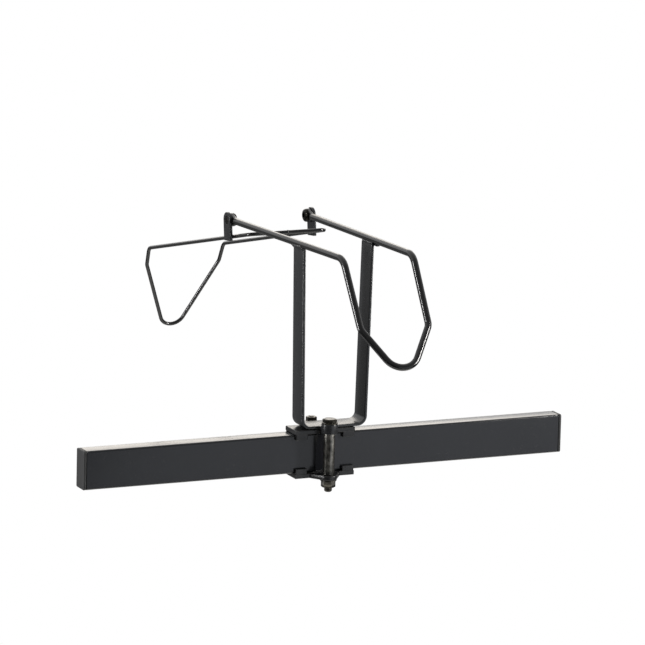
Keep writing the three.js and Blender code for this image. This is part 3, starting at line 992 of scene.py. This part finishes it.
nut_low, nut_high = levels("clamp_nut_rear")
double_cone = outline(
    (0, nut_low),
    (4.8, nut_low, 0.2),
    (6.2, nut_low + 0.8),
    (6.2, nut_high - 0.8),
    (4.8, nut_high, 0.2),
    (0, nut_high),
)
rear_nut = milled(
    "rear_nut",
    REAR_FLATS,
    nut_high - nut_low,
    BOLT_Y,
    (nut_low + nut_high) / 2,
    double_cone,
    drilled(SHANK_REAR, BOLT_Y, nut_high),
)
finish_piece(rear_nut, "clamp_nut_rear", black_oxide)

# %% [markdown]
# ## The yoke
#
# The yoke is one strip of 25 by 3 mm flat bar bent to a U. Its legs lean out by about one
# degree, and their tops are cut to the slope of the bars they carry. A sweep along the bent
# line makes the strip, a plane cuts the tops, and a short web reaches forward to the collar.

# %% Yoke
EYE_Y, EYE_Z = 162.1, 190.4
HOOP_CORNER = (38.1, -106.4, 200.6)
BAR_WIDTH = 25
BAR_THICKNESS = 3
YOKE_BEND = 8.5
LEG_FOOT_X = 34.5
LEG_LEAN = 0.0168
LEG_TOP = 192.5
OVERRUN = 10  # how much longer than its cut length each leg is bent
BASE_Z = 6.8
SHEARED_EDGE = 0.4
bar_tilt = math.atan2(HOOP_CORNER[2] - EYE_Z, EYE_Y - HOOP_CORNER[1])


def leg_x(z):
    """The middle of a leg's thickness at a height above the rail."""
    return LEG_FOOT_X + LEG_LEAN * z


leg_high = LEG_TOP + OVERRUN
yoke_line = [
    ((-leg_x(leg_high), 0, leg_high), 0),
    ((-leg_x(BASE_Z), 0, BASE_Z), YOKE_BEND),
    ((leg_x(BASE_Z), 0, BASE_Z), YOKE_BEND),
    ((leg_x(leg_high), 0, leg_high), 0),
]
strip = run_tree(
    "strip",
    line_mesh(bent_line(yoke_line)),
    bar_bender,
    Bar_width=BAR_WIDTH * MM,
    Bar_thickness=BAR_THICKNESS * MM,
    Edge_radius=0.8 * MM,
    Edge_steps=4,
    Finish=bar_coat,
)
bm = bmesh.new()
bm.from_mesh(strip.data)
bpy.data.objects.remove(strip)
slope = Matrix.Rotation(-bar_tilt, 3, "X") @ Vector((0, 0, 1))
sawn = bmesh.ops.bisect_plane(
    bm,
    geom=bm.verts[:] + bm.edges[:] + bm.faces[:],
    plane_co=place(0, 0, LEG_TOP),
    plane_no=slope,
    clear_outer=True,
)
sawn_edges = [e for e in sawn["geom_cut"] if isinstance(e, bmesh.types.BMEdge)]
bmesh.ops.holes_fill(bm, edges=sawn_edges)
WEB_RADIUS = 8.8  # a little more than the collar's, so that the web's end fits round it
WEB_HALF = 6.5
WEB_BACK = -8.5
web_arc = arc(CLAMP_X, -BOLT_Y, WEB_RADIUS, 42.4, 137.6)
web_rim = web_arc + [(CLAMP_X - WEB_HALF, WEB_BACK), (CLAMP_X + WEB_HALF, WEB_BACK)]
web = flat_plate([web_rim], BAR_THICKNESS, SHEARED_EDGE, lying(0, 0, BASE_Z))
yoke_bar = combined("yoke_bar", mesh_of(bm), ("UNION", web))
soften = yoke_bar.modifiers.new("soften", "BEVEL")
soften.width = 0.35 * MM
soften.segments = 2
soften.limit_method = "ANGLE"
soften.angle_limit = math.radians(60)
finish_piece(applied(yoke_bar), "yoke", bar_coat)

# %% [markdown]
# ## The two hoops
#
# The front hoop is 7 mm rod welded to the yoke. Its bars rise slightly from the pivots to the
# front, turn down, and close in a blunt V that the tyre drops into. The rear hoop is 4 mm rod
# bent to a closed loop, and folds. Both V ends have the same form, so one function lays out
# either.


# %% Hoop ends
def mirrored(point):
    """The same point on the left-hand side."""
    return (-point[0], point[1], point[2])


def hoop_end(corner, drop, knee_along, knee_x, knee_bend, taper, tip_bend, side):
    """The corners of a V end from its right knee to its left. side is -1 towards the front."""
    _, corner_y, corner_z = corner
    drop, taper = math.radians(drop), math.radians(taper)

    def along(distance):
        return (corner_y + side * distance * math.cos(drop), corner_z - distance * math.sin(drop))

    apex = knee_along + knee_x / math.tan(taper)
    turn = math.pi / 2 - taper
    tip = along(apex - (tip_bend / math.cos(turn) - tip_bend))
    half = tip_bend * math.tan(turn / 2)
    knee = along(knee_along)
    return [
        ((knee_x, *knee), knee_bend),
        ((half, *tip), tip_bend),
        ((-half, *tip), tip_bend),
        ((-knee_x, *knee), knee_bend),
    ]


# %% Front hoop
ROD = 3.5
FRONT_BEND = 18
NECK = 12  # from the pivot's middle to where the round rod starts
EYE_X = 43.5
EYE_RADIUS = 7
EYE_BORE = 4.3
EYE_THICKNESS = 4
PADDLE_END = -15
PADDLE_ROOT = -11.2
eye = Vector((EYE_X, EYE_Y, EYE_Z))
run = Vector(HOOP_CORNER) - eye
neck = eye + run * (NECK / run.length)
front_v = hoop_end(
    HOOP_CORNER, drop=55.5, knee_along=76.5, knee_x=37, knee_bend=14, taper=31, tip_bend=20, side=-1
)
front_line = [
    (tuple(neck), 0),
    (HOOP_CORNER, FRONT_BEND),
    *front_v,
    (mirrored(HOOP_CORNER), FRONT_BEND),
    (mirrored(neck), 0),
]
front_rod = run_tree(
    "front_rod",
    line_mesh(bent_line(front_line)),
    rod_bender,
    Rod_radius=ROD * MM,
    Sides=40,
    Finish=rod_coat,
)
paddle_rim = [
    (PADDLE_END, -ROD),
    (PADDLE_ROOT, -ROD),
    *arc(0, 0, EYE_RADIUS, 244.8, 475.2, 40),
    (PADDLE_ROOT, ROD),
    (PADDLE_END, ROD),
]
paddles = [
    flat_plate(
        [paddle_rim, circle(0, 0, EYE_BORE)],
        EYE_THICKNESS,
        0.9,
        facing_sideways(side * EYE_X, EYE_Y, EYE_Z, -bar_tilt),
    )
    for side, _ in HANDS
]
rod_mesh = front_rod.data
bpy.data.objects.remove(front_rod)
front_hoop = combined("front_rod_hoop", rod_mesh, *[("UNION", paddle) for paddle in paddles])
finish_piece(front_hoop, "front_hoop", rod_coat)

# %% Rear hoop
THIN_ROD = 2.0
REAR_BEND = 10
CROSS_BEND = 8
CROSS = (43.4, 115, 183.8)
REAR_CORNER = (43.4, 382.3, 118.7)
rear_v = hoop_end(
    REAR_CORNER,
    drop=67,
    knee_along=21.7,
    knee_x=42.1,
    knee_bend=10,
    taper=22.1,
    tip_bend=14,
    side=1,
)
rear_line = [
    (CROSS, CROSS_BEND),
    (REAR_CORNER, REAR_BEND),
    *rear_v,
    (mirrored(REAR_CORNER), REAR_BEND),
    (mirrored(CROSS), CROSS_BEND),
]
rear_hoop = run_tree(
    "rear_rod_hoop",
    line_mesh(bent_line(rear_line), closed=True),
    rod_bender,
    Rod_radius=THIN_ROD * MM,
    Sides=32,
    Finish=rod_coat,
)
finish_piece(rear_hoop, "rear_hoop", rod_coat)

# %% [markdown]
# ## Lugs, straps and pivot bolts
#
# A small lug on each side ties the front hoop's bar to the top of a yoke leg. An upright strap
# holds each side of the rear hoop, and turns on a button-head bolt through the eye.

# %% Lugs and straps
LUG_X = 41.35
LUG_FOOT = 191.3
LUG_TOP = 195.3
LUG_THICKNESS = 3.7
STRAP_X = 47.3
STRAP_RADIUS = 8.3
STRAP_FOOT = -21.4
STRAP_LEAN = math.radians(-7)
lug_rim = outline(
    (-17, LUG_TOP), (-17, LUG_FOOT, 0.6), (2, LUG_FOOT, 2), (10, LUG_FOOT + 2, 0.6), (10, LUG_TOP)
)
strap_foot = outline(
    (-STRAP_RADIUS, 0),
    (-STRAP_RADIUS, STRAP_FOOT, 1.2),
    (STRAP_RADIUS, STRAP_FOOT, 1.2),
    (STRAP_RADIUS, 0),
)
strap_loops = [[*strap_foot, *arc(0, 0, STRAP_RADIUS, 3, 177, 40)], circle(0, 0, EYE_BORE)]
for side, hand in HANDS:
    at = facing_sideways(side * LUG_X, 0, 0)
    lug = new_object(f"lug_plate_{hand}", flat_plate([lug_rim], LUG_THICKNESS, SHEARED_EDGE, at))
    finish_piece(lug, f"lug_{hand}", bar_coat)
    hang = facing_sideways(side * STRAP_X, EYE_Y, EYE_Z, STRAP_LEAN)
    plate = flat_plate(strap_loops, BAR_THICKNESS, SHEARED_EDGE, hang)
    finish_piece(new_object(f"strap_plate_{hand}", plate), f"strap_{hand}", bar_coat)

# %% Pivot bolts
CROWN = 38.4
HEAD_SEAT = 41.2
SHANK_END = 48.8
PIN_RADIUS = 3.9
SOCKET_FLATS = 5
SOCKET_DEPTH = 1.8
SOCKET_TOOL = 6
pivot_profile = outline(
    (0, CROWN),
    (4.3, CROWN, 1.0),
    (6.3, CROWN + 1.0, 1.6),
    (7, HEAD_SEAT, 0.25),
    (PIN_RADIUS, HEAD_SEAT),
    (PIN_RADIUS, SHANK_END - 0.6, 0.2),
    (3.3, SHANK_END, 0.2),
    (0, SHANK_END),
)
socket_x = CROWN + SOCKET_DEPTH - SOCKET_TOOL / 2
for side, hand in HANDS:
    axis = facing_sideways(0, EYE_Y, EYE_Z) @ Matrix.Diagonal((1, 1, side, 1))
    socket = flat_plate(
        [hexagon(SOCKET_FLATS, 0, 0.15)],
        SOCKET_TOOL,
        0.05,
        facing_sideways(side * socket_x, EYE_Y, EYE_Z),
    )
    bolt = combined(f"pivot_button_{hand}", turned(pivot_profile, axis), ("DIFFERENCE", socket))
    finish_piece(bolt, f"pivot_bolt_{hand}", pin_oxide)

# %% [markdown]
# ## Weld beads
#
# The joints are short MIG welds, left as they were laid and painted over. A bead is a row of
# small overlapping pools, each frozen a little after the last. Geometry Nodes lay one
# squashed ball at each step along the seam and vary their sizes with a fixed seed, so the
# bead has the ripple that a smooth sweep would miss.

# %% A tree that lays a weld bead
bead_layer = bpy.data.node_groups.new("lay_weld_bead", "GeometryNodeTree")
given = tree_inputs(
    bead_layer, Bead_radius="Float", Ripple_pitch="Float", Seed="Int", Finish="Material"
)
seam = add_node(bead_layer, "GeometryNodeMeshToCurve", {"Mesh": given["Line"]})
pools = add_node(
    bead_layer,
    "GeometryNodeCurveToPoints",
    {"Curve": seam.outputs["Curve"], "Length": given["Ripple pitch"]},
    mode="LENGTH",
)
ball = add_node(
    bead_layer,
    "GeometryNodeMeshUVSphere",
    {"Segments": 20, "Rings": 12, "Radius": given["Bead radius"]},
)
sizes = add_node(
    bead_layer,
    "FunctionNodeRandomValue",
    {0: (0.9, 0.9, 0.8), 1: (1.1, 1.1, 1.0), "Seed": given["Seed"]},
    data_type="FLOAT_VECTOR",
)
row = add_node(
    bead_layer,
    "GeometryNodeInstanceOnPoints",
    {
        "Points": pools.outputs["Points"],
        "Instance": ball.outputs["Mesh"],
        "Rotation": pools.outputs["Rotation"],
        "Scale": sizes.outputs[0],
    },
)
tree_end(bead_layer, row.outputs["Instances"], given["Finish"])


# %% Lay the beads
RIPPLE = 0.75  # the step from pool to pool, as a share of the bead's radius
BEAD = {"lug": 0.95, "leg": 1.25, "strap": 0.75, "collar": 1.0, "hoop": 0.45}


def weld(name, points, radius, node, finish, seed, closed=False):
    """A bead along points in millimetres, on the body and finish of the node it joins."""
    bead = run_tree(
        name,
        line_mesh([place(*point) for point in points], closed),
        bead_layer,
        Bead_radius=radius * MM,
        Ripple_pitch=RIPPLE * radius * MM,
        Seed=seed,
        Finish=finish,
    )
    finish_piece(bead, node, finish, stands_for=False)


def bar_at(y):
    """The middle of the front hoop's right bar at a distance back."""
    share = (EYE_Y - y) / (EYE_Y - HOOP_CORNER[1])
    return eye + (Vector(HOOP_CORNER) - eye) * share


LUG_FACE = 43.2  # the lug's outer face, where its bead runs
LEG_SEAM_X = 37.3  # under the bar's inner side, where the leg's top meets it
STRAP_SEAM_X = 45.4  # the thin rod's outer side, where the strap touches it
thin_fall = (REAR_CORNER[2] - CROSS[2]) / (REAR_CORNER[1] - CROSS[1])
for side, hand in HANDS:
    outer_seam = []
    for y in range(-15, 9, 3):
        middle = bar_at(y)
        fall = math.sqrt(ROD**2 - (LUG_FACE - middle.x) ** 2)
        outer_seam.append((side * (LUG_FACE - 0.1), y, middle.z - fall))
    inner_seam = [(side * LEG_SEAM_X, y, bar_at(y).z - 3.1) for y in range(-11, 12, 2)]
    weld(f"weld_lug_{hand}", outer_seam, BEAD["lug"], f"lug_{hand}", bar_coat, 3 + side)
    weld(f"weld_leg_{hand}", inner_seam, BEAD["leg"], "yoke", bar_coat, 7 + side)
    for level, offset in (("above", 2.0), ("below", -2.0)):
        seam_points = [
            (side * STRAP_SEAM_X, y, CROSS[2] + thin_fall * (y - CROSS[1]) + offset * 0.7)
            for y in range(153, 167, 2)
        ]
        name = f"weld_strap_{level}_{hand}"
        weld(name, seam_points, BEAD["strap"], f"strap_{hand}", bar_coat, 11 + side)

collar_arc = arc(CLAMP_X, -BOLT_Y, 8.7, 40, 140, 12)
collar_seam = [(x, y, BASE_Z + 1.7) for x, y in collar_arc]
weld("weld_collar", collar_seam, BEAD["collar"], "yoke", bar_coat, 17)
butt_ring = [(0, CROSS[1] + y, CROSS[2] + z) for y, z in circle(0, 0, THIN_ROD - 0.1, 24)]
weld("weld_rear_hoop", butt_ring, BEAD["hoop"], "rear_hoop", rod_coat, 19, closed=True)

# %% [markdown]
# ## Studio
#
# Black paint is mostly seen by what it reflects. The studio is bright above the horizon and dim
# below it, and brighter behind the piece than in front: upward faces mirror the bright half at
# a glancing angle and read pale grey, while upright faces mirror the dim half and stay near
# black. Four lamps do the rest. A narrow strip on each side draws the long highlights down the
# round pieces. A wide soft lamp in front and below lifts the upright faces just enough to
# show the coat, and lets a sleeve's dark mirror image stand out in the rail. A wide one
# behind lights the top faces. The floor is a plain pale disc well below.

# %% World
world = bpy.data.worlds.new("studio")
world.use_nodes = True
bpy.context.scene.world = world
sky = world.node_tree
sky.nodes.clear()
direction = add_node(sky, "ShaderNodeTexCoord").outputs["Generated"]
height = add_node(sky, "ShaderNodeSeparateXYZ", {"Vector": direction}).outputs["Z"]
glow = add_node(
    sky,
    "ShaderNodeMapRange",
    {"Value": height, "From Min": -0.04, "From Max": 0.12, "To Min": 0.19, "To Max": 1.0},
    interpolation_type="SMOOTHSTEP",
)
depth = add_node(sky, "ShaderNodeSeparateXYZ", {"Vector": direction}).outputs["Y"]
wrap = add_node(
    sky, "ShaderNodeMapRange", {"Value": depth, "From Min": -0.6, "From Max": 0.5, "To Min": 0.25}
)
power = add_node(
    sky,
    "ShaderNodeMath",
    {0: glow.outputs["Result"], 1: wrap.outputs["Result"]},
    operation="MULTIPLY",
)
lighting = add_node(sky, "ShaderNodeBackground", {"Strength": power.outputs["Value"]})
backdrop = add_node(sky, "ShaderNodeBackground", {"Strength": 1.0})
seen = add_node(sky, "ShaderNodeLightPath").outputs["Is Camera Ray"]
# The camera sees plain white past the floor, and only the pieces see the shaped light.
sky_choice = add_node(
    sky,
    "ShaderNodeMixShader",
    {0: seen, 1: lighting.outputs["Background"], 2: backdrop.outputs["Background"]},
)
for plain in (lighting, backdrop):
    plain.inputs["Color"].default_value = (1, 1, 1, 1)
add_node(sky, "ShaderNodeOutputWorld", {"Surface": sky_choice.outputs["Shader"]})
bpy.context.scene.view_settings.view_transform = "Standard"


# %% Softboxes
LAMP_AIM = place(0, 0, 100)


def towards(azimuth, elevation):
    """The direction to a point seen from the yoke, with its angles in radians."""
    level = math.cos(elevation)
    return Vector((math.sin(azimuth) * level, -math.cos(azimuth) * level, math.sin(elevation)))


def softbox(name, azimuth, elevation, distance, width, height, power, tint):
    """A lamp that faces the yoke from an azimuth and elevation in degrees.

    Its distance, width and height are in metres, and its power is in watts.
    """
    data = bpy.data.lights.new(name, "AREA")
    data.shape = "RECTANGLE"
    data.size = width
    data.size_y = height
    data.energy = power
    data.color = linear(tint)[:3]
    lamp = new_object(name, data)
    away = towards(math.radians(azimuth), math.radians(elevation))
    lamp.location = LAMP_AIM + away * distance
    lamp.rotation_mode = "QUATERNION"
    lamp.rotation_quaternion = (-away).to_track_quat("-Z", "Y")


softbox("left_strip", -96, 8, 2.0, 0.15, 1.3, 38, "ffffff")
softbox("right_strip", 56, 14, 2.0, 0.14, 1.2, 48, "fffdfa")
softbox("front_softbox", 27, -12, 3.0, 2.4, 1.6, 9.5, "f4f8ff")
softbox("back_softbox", 156, 17, 2.5, 2.2, 0.7, 11, "fff6ea")

# %% Floor
floor_coat, floor_tree = new_material("pale_painted_floor")
where = add_node(floor_tree, "ShaderNodeTexCoord").outputs["Object"]
mottle = add_node(floor_tree, "ShaderNodeTexNoise", {"Vector": where, "Scale": per_metre(200)})
pale = add_node(
    floor_tree,
    "ShaderNodeMix",
    {0: mottle.outputs["Fac"], 6: linear("e2e1de"), 7: linear("ececea")},
    data_type="RGBA",
)
matt = add_node(
    floor_tree, "ShaderNodeBsdfPrincipled", {"Base Color": pale.outputs[2], "Roughness": 0.8}
)
add_node(floor_tree, "ShaderNodeOutputMaterial", {"Surface": matt.outputs["BSDF"]})
FLOOR_TOP = -620
FLOOR_FOOT = FLOOR_TOP - 10
FLOOR_RADIUS = 900
disc = outline(
    (0, FLOOR_FOOT), (FLOOR_RADIUS, FLOOR_FOOT, 4), (FLOOR_RADIUS, FLOOR_TOP, 4), (0, FLOOR_TOP)
)
floor = new_object("floor", turned(disc, standing(0, 0), 128))
floor.data.materials.append(floor_coat)
floor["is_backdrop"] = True

# %% [markdown]
# ## Camera
#
# The camera stands about five and a half metres away with a long lens, a little to the left
# and a little above, so the bars stay almost parallel. It is tipped by just over a degree.

# %% Camera
AZIMUTH, ELEVATION, ROLL = map(math.radians, (-24.407, 12.002, 1.424))
CAMERA_DISTANCE = 5.5494
aim = place(-10.56, 0, 112.78)
away = towards(AZIMUTH, ELEVATION)
lens = bpy.data.cameras.new("camera")
lens.sensor_width = 36
lens.lens = 305.83
lens.clip_end = 50
camera = new_object("camera", lens)
turn = (-away).to_track_quat("-Z", "Y").to_matrix().to_4x4()
stand = Matrix.Translation(aim + away * CAMERA_DISTANCE)
camera.matrix_world = stand @ turn @ Matrix.Rotation(ROLL, 4, "Z")
bpy.context.scene.camera = camera

# %% [markdown]
# ## Sizes
#
# The box round the finished pieces is kept beside the model's own box, and the sizes of
# both are printed.

# %% Print the sizes
bpy.context.view_layer.update()
visual_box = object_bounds()
sizes = {"cad_box": [list(c) for c in cad_box], "visual_box": [list(c) for c in visual_box]}
print("model, mm:", [round(c / MM, 1) for c in cad_box[1] - cad_box[0]])
print("visual, mm:", [round(c / MM, 1) for c in visual_box[1] - visual_box[0]])
